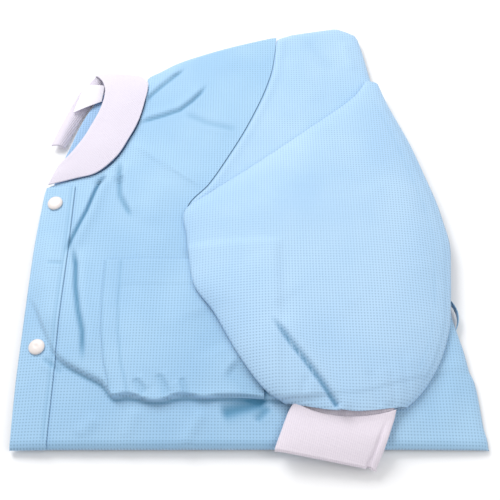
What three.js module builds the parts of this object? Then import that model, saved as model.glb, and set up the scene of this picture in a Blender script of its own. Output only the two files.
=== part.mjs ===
// Disposable lab jacket, folded flat on a table.
// Millimetres, +Z up, origin on the table under the middle of the folded jacket.
// +X is the wearer's side of the folded jacket (sleeve), -X its front edge
// (placket and snaps), -Y the fold at the hip, +Y the shoulder.
import * as THREE from 'three';
import { mergeVertices } from 'three/addons/utils/BufferGeometryUtils.js';

// ---------------------------------------------------------------- sizes
const CLOTH = 1.2;            // wall of one visible cloth layer, air included
const KNIT = 1.6;             // wall of the knit collar band and cuff
const SEAM = 0.3;             // gap between pieces sewn together
const LIFT = 0.35;            // gap under a piece that lies on another
const NOSE_R = 4.6;           // radius of the fold at the hip
const HIP_Y = -164.5;         // foremost line of the fold at the hip
const SNAP_R = 6.2;           // snap cap radius
const SNAP_H = 2.6;           // snap cap height
const SNAP_LIFT = 1.0;         // gap under a cap, taken up by its stud
const SNAP_PITCH = 126;       // distance between two snaps
const SNAP_X = -157, SNAP_Y = 37;
const PLACKET_X = -142.5;     // inner edge of the front strip
const PLACKET_T = 1.0;
const POCKET_T = 1.1;
const POCKET = { left: -112, right: 10, top: -17, foot: -129 };
const LABEL = { footLeft: [-152, 131.5], footRight: [-128.5, 143.5], topRight: [-127.5, 158], topLeft: [-143.5, 160], t: 1.0 };

// ---------------------------------------------------------------- tables
// Height of the upper cloth over the table at named lines across the jacket.
const LINES = { edge: -170, strip: -145, chest: -95, middle: -30, flank: 50, side: 120, rim: 168 };
const STACK = [
  { y: -165, edge: 6.4, strip: 8.2, chest: 8.8, middle: 9.2, flank: 9.2, side: 8.4, rim: 6.4 },
  { y: -145, edge: 7.0, strip: 9.4, chest: 10.6, middle: 11.0, flank: 11.0, side: 9.8, rim: 6.8 },
  { y: -100, edge: 7.6, strip: 10.6, chest: 12.4, middle: 13.0, flank: 12.6, side: 11.0, rim: 7.4 },
  { y: -40, edge: 8.0, strip: 11.2, chest: 13.6, middle: 14.2, flank: 13.4, side: 11.8, rim: 8.0 },
  { y: 30, edge: 8.0, strip: 11.2, chest: 13.8, middle: 14.2, flank: 13.6, side: 11.8, rim: 8.4 },
  { y: 100, edge: 8.0, strip: 10.6, chest: 12.8, middle: 13.6, flank: 13.2, side: 11.2, rim: 8.6 },
  { y: 170, edge: 7.6, strip: 9.6, chest: 10.8, middle: 11.8, flank: 11.6, side: 9.6, rim: 8.4 },
  { y: 230, edge: 7.0, strip: 8.4, chest: 8.6, middle: 9.2, flank: 9.8, side: 9.0, rim: 8.0 },
];
// Armhole seam between the left front and the sleeve, down to the side seam.
const ARMHOLE = [
  { y: -54, x: 151.0 }, { y: -36, x: 98.0 }, { y: -12, x: 26.0 }, { y: 12, x: -38.0 },
  { y: 31, x: -49.8 }, { y: 54, x: -33.6 }, { y: 80, x: -19.1 }, { y: 118, x: -0.6 },
  { y: 158, x: 14.4 }, { y: 178, x: 19.6 }, { y: 197, x: 22.2 }, { y: 216, x: 24.0 },
];
// Left front, from the hip fold to the shoulder point, with the lines of its
// mesh that the strip's inner edge, the pocket's side and the flank follow.
const FRONT = [
  { y: -158, left: -168.5, strip: -142.5, pocket: -98, flank: 10, right: 168.0 },
  { y: -130, left: -169.5, strip: -142.5, pocket: -98, flank: 10, right: 165.5 },
  { y: -105, left: -170.0, strip: -142.5, pocket: -105.5, flank: 10, right: 161.0 },
  { y: -80, left: -170.0, strip: -142.5, pocket: -109.5, flank: 10, right: 156.5 },
  { y: -54, left: -170.0, strip: -142.5, pocket: -111.5, flank: 10, right: 151.0 },
  { y: -12, left: -170.0, strip: -142.5, pocket: -112, flank: 8, right: 26.0 },
  { y: 12, left: -169.3, strip: -142.5, pocket: -114, flank: -52, right: -38.0 },
  { y: 31, left: -168.2, strip: -142.5, pocket: -117, flank: -62, right: -49.8 },
  { y: 54, left: -166.0, strip: -142.5, pocket: -119, flank: -48, right: -33.6 },
  { y: 60, left: -142.5, strip: -135.5, pocket: -115, flank: -44, right: -30.2 },
  { y: 65, left: -125.5, strip: -119.5, pocket: -104, flank: -41, right: -27.3 },
  { y: 80, left: -110.2, strip: -104.5, pocket: -92, flank: -33, right: -19.1 },
  { y: 99, left: -101.2, strip: -95.5, pocket: -83, flank: -22, right: -9.0 },
  { y: 118, left: -94.2, strip: -88.0, pocket: -76, flank: -13, right: -0.6 },
  { y: 139, left: -90.4, strip: -84.0, pocket: -70, flank: -3, right: 8.4 },
  { y: 158, left: -88.4, strip: -82.5, pocket: -66, flank: 3, right: 14.4 },
  { y: 170, left: -90.5, strip: -84.5, pocket: -66, flank: 6, right: 17.6 },
  { y: 178, left: -80.0, strip: -75.0, pocket: -60, flank: 8, right: 19.6 },
  { y: 187, left: -67.0, strip: -62.0, pocket: -48, flank: 11, right: 20.9 },
  { y: 197, left: -45.0, strip: -41.0, pocket: -30, flank: 14, right: 22.2 },
  { y: 207, left: -18.0, strip: -15.0, pocket: -8, flank: 18, right: 23.1 },
  { y: 216, left: 12.0, strip: 13.2, pocket: 15, flank: 22, right: 24.0 },
];
const FRONT_COLUMNS = [        // how many mesh lines lie between two of those lines
  { from: 'left', to: 'strip', at: [0, 0.05, 0.2, 0.47] },
  { from: 'strip', to: 'pocket', at: [0, 0.03, 0.3, 0.6] },
  { from: 'pocket', to: 'flank', at: [0, 0.12, 0.28, 0.46, 0.64, 0.82] },
  { from: 'flank', to: 'right', at: [0, 0.03, 0.25, 0.5, 0.75, 0.9, 0.96, 0.987, 1] },
];
// Outer limit of the upper sleeve, from the side seam to the shoulder point.
const SLEEVE = [
  { y: -54, right: 151.4 }, { y: -36, right: 151.0 }, { y: -12, right: 152.0 }, { y: 12, right: 152.0 },
  { y: 31, right: 148.0 }, { y: 54, right: 142.0 }, { y: 80, right: 134.0 }, { y: 118, right: 120.0 },
  { y: 139, right: 113.0 }, { y: 158, right: 108.5 }, { y: 178, right: 105.0 }, { y: 197, right: 102.0 },
  { y: 210, right: 99.6 }, { y: 217, right: 98.0 }, { y: 222.5, right: 95.0 }, { y: 226.5, right: 88.0 }, { y: 230, right: 79.5 },
];
const SLEEVE_TOP = [ { y: 216, x: 24.0 }, { y: 222.5, x: 38.0 }, { y: 226.5, x: 58.0 }, { y: 230, x: 76.0 } ];
// Lower part of the sleeve: sections from the fold's tip to the mouth.
const FOREARM = [
  { name: 'tip', xl: 100, yl: 161, xr: 112, yr: 158, sag: 0, puff: 1.4 },
  { name: 's1', xl: 86, yl: 141, xr: 119, yr: 135, sag: 0, puff: 3.1 },
  { name: 's2', xl: 45, yl: 106, xr: 134, yr: 95, sag: 0, puff: 5.4 },
  { name: 's3', xl: 2, yl: 71, xr: 144, yr: 62, sag: 0, puff: 7.5 },
  { name: 's4', xl: -32, yl: 45, xr: 151, yr: 38, sag: 0, puff: 8.8 },
  { name: 's5', xl: -53, yl: 27, xr: 155, yr: 18, sag: 0, puff: 9.9 },
  { name: 's6', xl: -51, yl: 4, xr: 158, yr: -3, sag: 1, puff: 10.5 },
  { name: 's7', xl: -48, yl: -18, xr: 156, yr: -26, sag: 2, puff: 11.2 },
  { name: 's8', xl: -43, yl: -42, xr: 153, yr: -52, sag: 4, puff: 11.6 },
  { name: 's9', xl: -28, yl: -64, xr: 149.5, yr: -74, sag: 6, puff: 11.6 },
  { name: 's10', xl: -12, yl: -94, xr: 141.5, yr: -97, sag: 8, puff: 10.9 },
  { name: 's11', xl: 3, yl: -117, xr: 132, yr: -114, sag: 9, puff: 9.5 },
  { name: 's12', xl: 14, yl: -129, xr: 122, yr: -127, sag: 9, puff: 7.8 },
  { name: 'mouth', xl: 25, yl: -134, xr: 112, yr: -136, sag: 7, puff: 6.5 },
];
// Knit cuff: sections from inside the sleeve's mouth to the free end.
const CUFF = [
  { name: 'inside', xl: 42, yl: -120, zl: 16.4, xr: 96, yr: -121, zr: 16.2, h: 3.6, turned: 0 },
  { name: 'mouth', xl: 34, yl: -131, zl: 15.4, xr: 102, yr: -135, zr: 15.2, h: 4.0, turned: 0 },
  { name: 'lip', xl: 28.5, yl: -139, zl: 13.2, xr: 101.0, yr: -144, zr: 13.0, h: 4.8, turned: 0.6 },
  { name: 'fold', xl: 25.5, yl: -146, zl: 12.2, xr: 98.5, yr: -151, zr: 12.2, h: 5.2, turned: 1 },
  { name: 'over', xl: 22.5, yl: -154, zl: 11.6, xr: 95.0, yr: -160, zr: 11.6, h: 5.4, turned: 1 },
  { name: 'drop', xl: 19.8, yl: -161, zl: 11.0, xr: 91.0, yr: -169.5, zr: 8.6, h: 5.6, turned: 1 },
  { name: 'end', xl: 18.0, yl: -166, zl: 10.2, xr: 86.5, yr: -178.5, zr: 4.4, h: 6.0, turned: 1 },
];
// Collar band: seam edge (s) and free edge (f) from the left front end round
// the back of the neck to the right front end; bow raises its middle.
const BAND = [
  { name: 'leftEnd', xs: -164.5, ys: 56.0, zs: 9.6, xf: -157, yf: 74, zf: 11.0, bow: 0.6 },
  { name: 'l1', xs: -143, ys: 61.0, zs: 11.8, xf: -151, yf: 80, zf: 13.4, bow: 0.8 },
  { name: 'l2', xs: -126, ys: 65.8, zs: 13.2, xf: -145, yf: 88, zf: 14.8, bow: 0.9 },
  { name: 'l3', xs: -111, ys: 81.0, zs: 14.2, xf: -138, yf: 100, zf: 15.8, bow: 1.0 },
  { name: 'l4', xs: -102, ys: 99.5, zs: 14.4, xf: -133, yf: 112, zf: 16.4, bow: 1.0 },
  { name: 'l5', xs: -95, ys: 118.5, zs: 14.2, xf: -128, yf: 125, zf: 16.8, bow: 1.0 },
  { name: 'l6', xs: -91.2, ys: 139.0, zs: 13.6, xf: -125, yf: 138, zf: 17.0, bow: 1.0 },
  { name: 'l7', xs: -89.4, ys: 157.0, zs: 12.4, xf: -124.5, yf: 149, zf: 16.6, bow: 1.0 },
  { name: 'top1', xs: -94.5, ys: 168.5, zs: 9.4, xf: -126.5, yf: 157, zf: 15.2, bow: 1.6 },
  { name: 'top2', xs: -105, ys: 174.5, zs: 5.2, xf: -130, yf: 164.5, zf: 12.8, bow: 3.0 },
  { name: 'turn', xs: -117, ys: 174.0, zs: 2.4, xf: -135.5, yf: 170, zf: 9.8, bow: 3.2 },
  { name: 'r1', xs: -127, ys: 162.0, zs: 2.2, xf: -142, yf: 164, zf: 7.4, bow: 2.6 },
  { name: 'r2', xs: -137, ys: 146.0, zs: 2.4, xf: -149.5, yf: 154, zf: 6.4, bow: 2.6 },
  { name: 'r3', xs: -145, ys: 131.0, zs: 2.6, xf: -156, yf: 137, zf: 6.2, bow: 2.8 },
  { name: 'r4', xs: -151, ys: 115.0, zs: 2.8, xf: -162.5, yf: 117, zf: 6.0, bow: 3.0 },
  { name: 'rightEnd', xs: -156.5, ys: 98.0, zs: 2.8, xf: -168, yf: 99, zf: 5.6, bow: 3.0 },
];
// Line over which the chest sags: behind it the cloth stands proud of the
// lower front, which makes the overhanging lip at the foot of the pocket.
const SAG = { rise: 4.6, reach: 5.5, fade: 95 };
const SAG_LINE = [
  { x: -176, y: -40 }, { x: -163, y: -57 }, { x: -151, y: -82 }, { x: -141, y: -98 },
  { x: -122, y: -110 }, { x: -106, y: -119 }, { x: -97, y: -130 }, { x: -60, y: -130 },
  { x: -8, y: -128 }, { x: 20, y: -130 }, { x: 70, y: -126 }, { x: 120, y: -112 }, { x: 176, y: -104 },
];
// Pressed and dropped folds: rise above 0 is a ridge, below 0 a trough.
const FOLDS = [
  { name: 'neckToPlacket', x0: -120, y0: 66, x1: -143, y1: -12, w: 4.5, rise: -1.6 },
  { name: 'chestTrough', x0: -139, y0: -5, x1: -120, y1: -106, w: 5.0, rise: -1.7 },
  { name: 'neckDrop', x0: -107, y0: 76, x1: -93, y1: 20, w: 6.0, rise: -1.0 },
  { name: 'pressedRidge', x0: -100, y0: 95, x1: -38, y1: 50, w: 8.0, rise: 1.3 },
  { name: 'shoulderA', x0: -93, y0: 116, x1: -36, y1: 160, w: 5.0, rise: -1.0 },
  { name: 'shoulderB', x0: -86, y0: 144, x1: -57, y1: 178, w: 5.0, rise: -0.9 },
  { name: 'armholeEase', x0: -45, y0: 40, x1: 19, y1: 172, w: 4.5, rise: -0.7 },
  { name: 'hollow', x0: -12, y0: -104, x1: 26, y1: -138, w: 10.0, rise: -2.2 },
];
// Layers that show round the edge of the stack: height as a share of the
// edge's height, and how far the layer lies back from the outline.
const LAYERS = [
  { at: 0.00, back: 3.2 }, { at: 0.10, back: 0.8 }, { at: 0.24, back: 1.6 },
  { at: 0.34, back: 3.6 }, { at: 0.46, back: 1.4 }, { at: 0.60, back: 2.0 },
  { at: 0.70, back: 4.0 }, { at: 0.84, back: 2.4 }, { at: 1.00, back: 5.5 },
];
// Outline of the whole stack on the table.
const OUTLINE = [
  { x: -164.0, y: -160.0 }, { x: -100.0, y: -162.0 }, { x: -20.0, y: -162.5 }, { x: 60.0, y: -162.5 },
  { x: 120.0, y: -162.0 }, { x: 163.0, y: -160.5 }, { x: 166.0, y: -152.0 }, { x: 163.5, y: -125.0 },
  { x: 159.0, y: -98.0 }, { x: 155.5, y: -74.0 }, { x: 152.0, y: -40.0 }, { x: 150.0, y: 0.0 },
  { x: 145.0, y: 40.0 }, { x: 133.0, y: 85.0 }, { x: 119.0, y: 125.0 }, { x: 107.0, y: 160.0 },
  { x: 101.0, y: 195.0 }, { x: 95.0, y: 219.0 }, { x: 84.0, y: 224.0 }, { x: 72.0, y: 226.0 },
  { x: 24.0, y: 216.0 }, { x: -18.0, y: 203.0 }, { x: -46.0, y: 193.0 }, { x: -74.0, y: 179.0 },
  { x: -96.0, y: 165.0 }, { x: -122.0, y: 152.0 }, { x: -140.0, y: 130.0 }, { x: -147.0, y: 105.0 },
  { x: -158.0, y: 80.0 }, { x: -163.0, y: 58.0 }, { x: -166.0, y: 30.0 }, { x: -167.0, y: -20.0 },
  { x: -167.0, y: -80.0 }, { x: -166.0, y: -130.0 },
];
const NECK_Z = 3.6;           // height of the hidden layers under the neck

// ---------------------------------------------------------------- helpers
const clamp = (v, a, b) => Math.min(b, Math.max(a, v));
const smooth = (t) => { const s = clamp(t, 0, 1); return s * s * (3 - 2 * s); };

// Value of a table column at a place, with straight lines between rows.
function column(rows, key, at, value) {
  if (value <= rows[0][at]) return rows[0][key];
  for (let i = 1; i < rows.length; i++) {
    const a = rows[i - 1], b = rows[i];
    if (value <= b[at]) return a[key] + (b[key] - a[key]) * (value - a[at]) / (b[at] - a[at]);
  }
  return rows[rows.length - 1][key];
}
// The same through the rows' order, 0 to rows.length - 1, rounded at each row.
function along(rows, key, t) {
  const n = rows.length - 1;
  const i = clamp(Math.floor(t), 0, n - 1), f = clamp(t - i, 0, 1);
  const p0 = rows[Math.max(0, i - 1)][key], p1 = rows[i][key], p2 = rows[i + 1][key], p3 = rows[Math.min(n, i + 2)][key];
  return 0.5 * (2 * p1 + (p2 - p0) * f + (2 * p0 - 5 * p1 + 4 * p2 - p3) * f * f + (3 * p1 - p0 - 3 * p2 + p3) * f * f * f);
}
// Distance from a point to a segment, and how far along it the foot lies.
function toSegment(x, y, x0, y0, x1, y1) {
  const dx = x1 - x0, dy = y1 - y0;
  const s = ((x - x0) * dx + (y - y0) * dy) / (dx * dx + dy * dy), c = clamp(s, 0, 1);
  return { d: Math.hypot(x - x0 - c * dx, y - y0 - c * dy), s };
}
// How far a point lies behind the sag line (negative in front of it).
function behindSag(x, y) { return y - column(SAG_LINE, 'y', 'x', x); }

// Height of the layers below the visible cloth, without folds.
const LINE_KEYS = Object.keys(LINES);
function stackHeight(x, y) {
  const heights = LINE_KEYS.map((k) => ({ x: LINES[k], z: column(STACK, k, 'y', y) }));
  return column(heights, 'z', 'x', x);
}
function sagRise(x, y) {
  const d = behindSag(x, y);
  if (d <= 0) return 0;
  const flat = 1 - Math.exp(-((x - SNAP_X) ** 2 + (y - SNAP_Y + SNAP_PITCH) ** 2) / 420);   // held down by the snap
  return flat * SAG.rise * smooth(d / SAG.reach) * (1 - smooth((d - 12) / SAG.fade)) * smooth((x + 172) / 22) * (1 - 0.85 * smooth((x - 18) / 40));
}
function foldRise(x, y) {
  let z = 0;
  for (const f of FOLDS) {
    const { d, s } = toSegment(x, y, f.x0, f.y0, f.x1, f.y1);
    const end = smooth(1 - Math.max(0, -s, s - 1) * 4);
    z += f.rise * Math.exp(-(d * d) / (f.w * f.w)) * end;
  }
  return z;
}
// Upper face of the left front and the upper sleeve.
function clothHeight(x, y) { return stackHeight(x, y) + sagRise(x, y) + foldRise(x, y); }

// A wall through a grid of points: outer face as given, inner face moved in
// by the wall along the grid's own normals (or straight down).
function wallMesh(grid, wall, straight = () => false) {
  const nu = grid.length, nv = grid[0].length;
  const inner = [];
  for (let i = 0; i < nu; i++) {
    inner.push([]);
    for (let j = 0; j < nv; j++) {
      const a = grid[Math.max(0, i - 1)][j], b = grid[Math.min(nu - 1, i + 1)][j];
      const c = grid[i][Math.max(0, j - 1)], d = grid[i][Math.min(nv - 1, j + 1)];
      const n = new THREE.Vector3().subVectors(b, a).cross(new THREE.Vector3().subVectors(d, c)).normalize();
      if (straight(i, j)) n.set(0, 0, 1);
      inner[i].push(grid[i][j].clone().addScaledVector(n, -wall));
    }
  }
  const pos = [];
  const tri = (a, b, c) => pos.push(a.x, a.y, a.z, b.x, b.y, b.z, c.x, c.y, c.z);
  const quad = (a, b, c, d) => { tri(a, b, c); tri(a, c, d); };
  for (let i = 0; i + 1 < nu; i++) for (let j = 0; j + 1 < nv; j++) {
    quad(grid[i][j], grid[i + 1][j], grid[i + 1][j + 1], grid[i][j + 1]);
    quad(inner[i][j], inner[i][j + 1], inner[i + 1][j + 1], inner[i + 1][j]);
  }
  for (let i = 0; i + 1 < nu; i++) {
    quad(grid[i + 1][0], grid[i][0], inner[i][0], inner[i + 1][0]);
    quad(grid[i][nv - 1], grid[i + 1][nv - 1], inner[i + 1][nv - 1], inner[i][nv - 1]);
  }
  for (let j = 0; j + 1 < nv; j++) {
    quad(grid[0][j], grid[0][j + 1], inner[0][j + 1], inner[0][j]);
    quad(grid[nu - 1][j + 1], grid[nu - 1][j], inner[nu - 1][j], inner[nu - 1][j + 1]);
  }
  return welded(pos);
}
// A body lofted through closed rings; each ring is an array of points.
function ringMesh(rings, closeStart, closeEnd) {
  const pos = [], m = rings[0].length;
  const tri = (a, b, c) => pos.push(a.x, a.y, a.z, b.x, b.y, b.z, c.x, c.y, c.z);
  for (let i = 0; i + 1 < rings.length; i++) for (let k = 0; k < m; k++) {
    const a = rings[i][k], b = rings[i][(k + 1) % m], c = rings[i + 1][(k + 1) % m], d = rings[i + 1][k];
    tri(a, b, c); tri(a, c, d);
  }
  const middle = (ring) => ring.reduce((s, p) => s.add(p), new THREE.Vector3()).multiplyScalar(1 / m);
  if (closeStart) { const c = middle(rings[0]); for (let k = 0; k < m; k++) tri(c, rings[0][(k + 1) % m], rings[0][k]); }
  if (closeEnd) { const r = rings[rings.length - 1], c = middle(r); for (let k = 0; k < m; k++) tri(c, r[k], r[(k + 1) % m]); }
  return welded(pos);
}
function welded(pos) {
  const g = new THREE.BufferGeometry();
  g.setAttribute('position', new THREE.Float32BufferAttribute(pos, 3));
  const merged = mergeVertices(g, 1e-3);
  merged.computeVertexNormals();
  return merged;
}
// Stations across a panel: closer together near its two edges.
function stations(n, edge) {
  const list = [0, edge * 0.3, edge];
  for (let i = 1; i < n; i++) list.push(edge + (1 - 2 * edge) * i / n);
  list.push(1 - edge, 1 - edge * 0.3, 1);
  return list;
}
// A panel through its table's rows, seen from above, on a height function.
function panelGrid(rows, ys, us, height, roll) {
  return us.map((u) => ys.map((y) => {
    const l = column(rows, 'left', 'y', y), r = column(rows, 'right', 'y', y);
    const x = l + (r - l) * u;
    const p = new THREE.Vector3(x, y, height(x, y));
    if (roll) p.z -= roll(x - l, r - x, x, y);
    return p;
  }));
}
const drop = (d, reach, depth) => (d >= reach ? 0 : depth * (1 - Math.sqrt(1 - (1 - d / reach) ** 2)));

// ---------------------------------------------------------------- colours
const cloth = (hex) => new THREE.MeshStandardMaterial({ color: hex, roughness: 0.82, metalness: 0, side: THREE.FrontSide });
const BLUE = 0xb4dcf8, BLUE_DEEP = 0x9ccdf0, WHITE = 0xf2ebf8, SNAP = 0xe9dfdb;
const group = new THREE.Group();
group.position.set(1.0, -25.75, 0);      // puts the origin under the middle of the jacket
function add(name, geometry, hex) {
  const mesh = new THREE.Mesh(geometry, cloth(hex));
  mesh.name = name;
  group.add(mesh);
  return mesh;
}

// ---------------------------------------------------------------- left front
// Rows run from the hip to the shoulder point, then round the hip fold.
const seamGap = (y) => {
  const slope = (column(ARMHOLE, 'x', 'y', y + 3) - column(ARMHOLE, 'x', 'y', y - 3)) / 6;
  return (SEAM / 2 + 0.1) * Math.hypot(1, slope);
};
const frontYs = [...new Set([...FRONT.map((r) => r.y), ...ARMHOLE.map((r) => r.y), -146, -136, -127.5, -124, -117, -92, POCKET.top])].sort((a, b) => a - b);
const frontLine = (key, y) => (key === 'right' && y > -55 ? column(ARMHOLE, 'x', 'y', y) - seamGap(y) : column(FRONT, key, 'y', y));
const frontRoll = (x, y) => {
  const dl = x - column(FRONT, 'left', 'y', y), dr = column(FRONT, 'right', 'y', y) - x;
  let z = 0;
  if (y < -54) z += drop(dr, 9, 4.4) * smooth((-54 - y) / 10);   // side fold of the body
  if (y > 160) z += drop(dl * 0.45, 7, 5.0);                     // shoulder fold
  if (y < 56) z += drop(dl, 3, 0.9);                             // rounded front edge
  return z;
};
const onFront = (x, y, up) => clothHeight(x, y) - frontRoll(x, y) + up;
const frontGrid = FRONT_COLUMNS.flatMap((c) => c.at.map((f) => frontYs.map((y) => {
  const a = frontLine(c.from, y), x = a + (frontLine(c.to, y) - a) * f;
  return new THREE.Vector3(x, y, onFront(x, y, 0));
})));
// the hip fold: a half round turned under the foremost row
const NOSE = [0.35, 0.75, 1.15, 1.6, 2.1];
const frontWrapped = frontGrid.map((line) => {
  const first = line[0];
  const top = first.z, r = (top - 0.9) / 2, depth = first.y - HIP_Y;
  const nose = NOSE.map((a) => new THREE.Vector3(first.x, first.y - depth * Math.sin(Math.min(a, Math.PI / 2)) + (a > Math.PI / 2 ? 0.4 : 0), top - r * (1 - Math.cos(a)))).reverse();
  return [...nose, ...line];
});
add('front_left', wallMesh(frontWrapped, CLOTH, (i, j) => j > NOSE.length + 1), BLUE);

// Pieces sewn on the front are made from its own points, moved out.
const frontColumn = (from, n = 0) => { let k = 0; for (const c of FRONT_COLUMNS) { if (c.from === from) return k + n; k += c.at.length; } return k - 1; };
const frontPatch = (i0, i1, y0, y1, up) => frontGrid.slice(i0, i1 + 1).map((line) => line.filter((p) => p.y >= y0 - 1e-6 && p.y <= y1 + 1e-6).map((p) => new THREE.Vector3(p.x, p.y, p.z + up)));

// ---------------------------------------------------------------- placket
const placketUp = LIFT + 0.1 + PLACKET_T;
const placketGrid = frontPatch(0, frontColumn('strip'), -158, 54, placketUp);
for (const line of placketGrid) line[line.length - 1].y -= 0.6;
add('placket', wallMesh(placketGrid, PLACKET_T, () => true), BLUE);

// ---------------------------------------------------------------- snaps
function snap(name, y) {
  const profile = [[0, 0], [SNAP_R * 0.9, 0], [SNAP_R, 0.5], [SNAP_R * 0.97, 1.2], [SNAP_R * 0.8, 2.0], [SNAP_R * 0.45, SNAP_H * 0.95], [0, SNAP_H]]
    .map(([r, z]) => new THREE.Vector2(r, z));
  const g = new THREE.LatheGeometry(profile, 18);
  g.rotateX(Math.PI / 2);
  g.deleteAttribute('normal'); g.deleteAttribute('uv');
  const mesh = add(name, mergeVertices(g, 1e-3), SNAP);
  // the cap sits square to the cloth that it holds
  const at = (dx, dy) => onFront(SNAP_X + dx, y + dy, placketUp);
  const n = new THREE.Vector3((at(-8, 0) - at(8, 0)) / 16, (at(0, -8) - at(0, 8)) / 16, 1).normalize();
  mesh.quaternion.setFromUnitVectors(new THREE.Vector3(0, 0, 1), n);
  mesh.position.set(SNAP_X, y, at(0, 0)).addScaledVector(n, SNAP_LIFT);
  mesh.geometry.computeVertexNormals();
}
snap('snap_cap_1', SNAP_Y);
snap('snap_cap_2', SNAP_Y - SNAP_PITCH);

// ---------------------------------------------------------------- chest pocket
// Its foot overhangs the step of the sagging chest in a shallow wave.
const pocketUp = LIFT + POCKET_T;
const footWave = (x) => 1.5 * Math.sin((x + 98) / 6.4) * smooth((x + 100) / 12) * (1 - smooth((x + 44) / 24));
const pocketGrid = frontPatch(frontColumn('pocket'), frontColumn('flank'), -124, POCKET.top, pocketUp);
for (const line of pocketGrid) {
  const x = line[0].x + (line[0].x - line[1].x) * 0.5, z = line[0].z;
  line.unshift(new THREE.Vector3(x, POCKET.foot + footWave(x), z - 1.1), new THREE.Vector3(x, POCKET.foot + 2.4 + footWave(x) * 0.6, z - 0.2));
}
add('chest_pocket', wallMesh(pocketGrid, POCKET_T, () => true), BLUE);

// ---------------------------------------------------------------- upper sleeve
const sleeveYs = [...new Set([...SLEEVE.map((r) => r.y), ...ARMHOLE.map((r) => r.y), 67, 99])].sort((a, b) => a - b);
const sleeveLeft = (y) => (y > 216 ? column(SLEEVE_TOP, 'x', 'y', y) + seamGap(216) : column(ARMHOLE, 'x', 'y', y) + seamGap(y));
const sleeveRoll = (x, y) => {
  const dr = column(SLEEVE, 'right', 'y', y) - x, dt = x - column(SLEEVE_TOP, 'x', 'y', y);
  return (y > 150 ? drop(dr, 8, 4.2) : 0) + (y > 205 ? drop(Math.min((232 - y) * 1.0, dt * 0.35 + (217 - Math.min(217, y)) * 0.6), 8, 4.2) : 0);
};
add('sleeve_left_upper', wallMesh(stations(8, 0.04).map((u) => sleeveYs.map((y) => {
  const l = sleeveLeft(y), r = Math.max(l + 1.2, column(SLEEVE, 'right', 'y', y)), x = l + (r - l) * u;
  return new THREE.Vector3(x, y, clothHeight(x, y) - Math.min(5.4, sleeveRoll(x, y)));
})), CLOTH, () => true), BLUE);

// ---------------------------------------------------------------- lower sleeve
// Flattened tube: each ring runs over the top from left to right and back below.
const FORE_T = [0, 0.5, 1, 1.6, 2.2, 3, 4, 5, 6, 7, 8, 9, 10, 11, 12, 13];
const FORE_U = [0.012, 0.05, 0.12, 0.22, 0.34, 0.46, 0.58, 0.7, 0.8, 0.88, 0.95, 0.988];
function forePoint(t, u) {
  const xl = along(FOREARM, 'xl', t), xr = along(FOREARM, 'xr', t), yl = along(FOREARM, 'yl', t), yr = along(FOREARM, 'yr', t);
  return { x: xl + (xr - xl) * u, y: yl + (yr - yl) * u - along(FOREARM, 'sag', t) * Math.sin(Math.PI * u) };
}
function underFore(x, y) {          // highest cloth near a place
  let z = -1e9;
  for (const dx of [-5, 0, 5]) for (const dy of [-5, 0, 5]) z = Math.max(z, clothHeight(x + dx, y + dy));
  z += (pocketUp + 0.3) * smooth((POCKET.right + 16 - x) / 8) * smooth((POCKET.top + 14 - y) / 8);
  return z;
}
function foreRing(t, inset) {
  const top = [], low = [], puff = along(FOREARM, 'puff', t);
  for (const u0 of FORE_U) {
    const width = Math.abs(along(FOREARM, 'xr', t) - along(FOREARM, 'xl', t));
    const k = inset / Math.max(width, 6);
    const u = 0.5 + (u0 - 0.5) * (1 - 2 * k);
    const { x, y } = forePoint(t, u);
    const under = underFore(x, y) + 0.5;
    const crown = 1 - Math.abs(2 * u0 - 1) ** 2.8;
    const half = 2.4 * Math.min(1, Math.sqrt(Math.max(0, 1 - Math.abs(2 * u0 - 1) ** 6)) + 0.35);
    const bottom = under;
    low.push(new THREE.Vector3(x, y, bottom + inset * 0.9));
    top.push(new THREE.Vector3(x, y, bottom + 2 * half + puff * crown - inset * 0.9));
  }
  return [...top, ...low.reverse()];
}
{
  const outer = FORE_T.map((t) => foreRing(t, 0));
  const innerT = FORE_T.filter((t) => t >= 1);
  const inner = innerT.map((t) => foreRing(t, CLOTH));
  // outside from the closed tip to the mouth, then back in along the inside
  const rings = [...outer, ...inner.reverse()];
  add('sleeve_left_lower', ringMesh(rings.map((r) => r.slice().reverse()), true, true), BLUE);
}

// ---------------------------------------------------------------- cuff
const CUFF_U = [0, 0.03, 0.1, 0.25, 0.42, 0.6, 0.78, 0.9, 0.97, 1];
const CUFF_T = [0, 0.6, 1, 1.5, 2, 2.6, 3, 4, 5, 5.6, 6];
function cuffRing(t, inset) {
  const top = [], low = [];
  const xl = along(CUFF, 'xl', t), xr = along(CUFF, 'xr', t), yl = along(CUFF, 'yl', t), yr = along(CUFF, 'yr', t);
  const zl = along(CUFF, 'zl', t), zr = along(CUFF, 'zr', t), h = along(CUFF, 'h', t), turned = along(CUFF, 'turned', t);
  for (const u0 of CUFF_U) {
    const u = 0.5 + (u0 - 0.5) * (1 - 2 * inset / 72);
    const x = xl + (xr - xl) * u, y = yl + (yr - yl) * u;
    const round = Math.sqrt(Math.max(0, 1 - Math.abs(2 * u0 - 1) ** 5));
    const mid = zl + (zr - zl) * u + h / 2, half = Math.max(0.35, (h / 2) * round);
    low.push(new THREE.Vector3(x, y, mid - half + inset * 0.8 * round));
    top.push(new THREE.Vector3(x, y, mid + half + 0.5 * turned * round - inset * 0.8 * round));
  }
  return [...top, ...low.reverse()];
}
{
  const outer = CUFF_T.map((t) => cuffRing(t, 0));
  const inner = CUFF_T.map((t) => cuffRing(t, KNIT)).reverse();
  const rings = [...outer, ...inner, outer[0]];
  add('cuff_left', ringMesh(rings.map((r) => r.slice().reverse()), false, false), WHITE);
}

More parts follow.
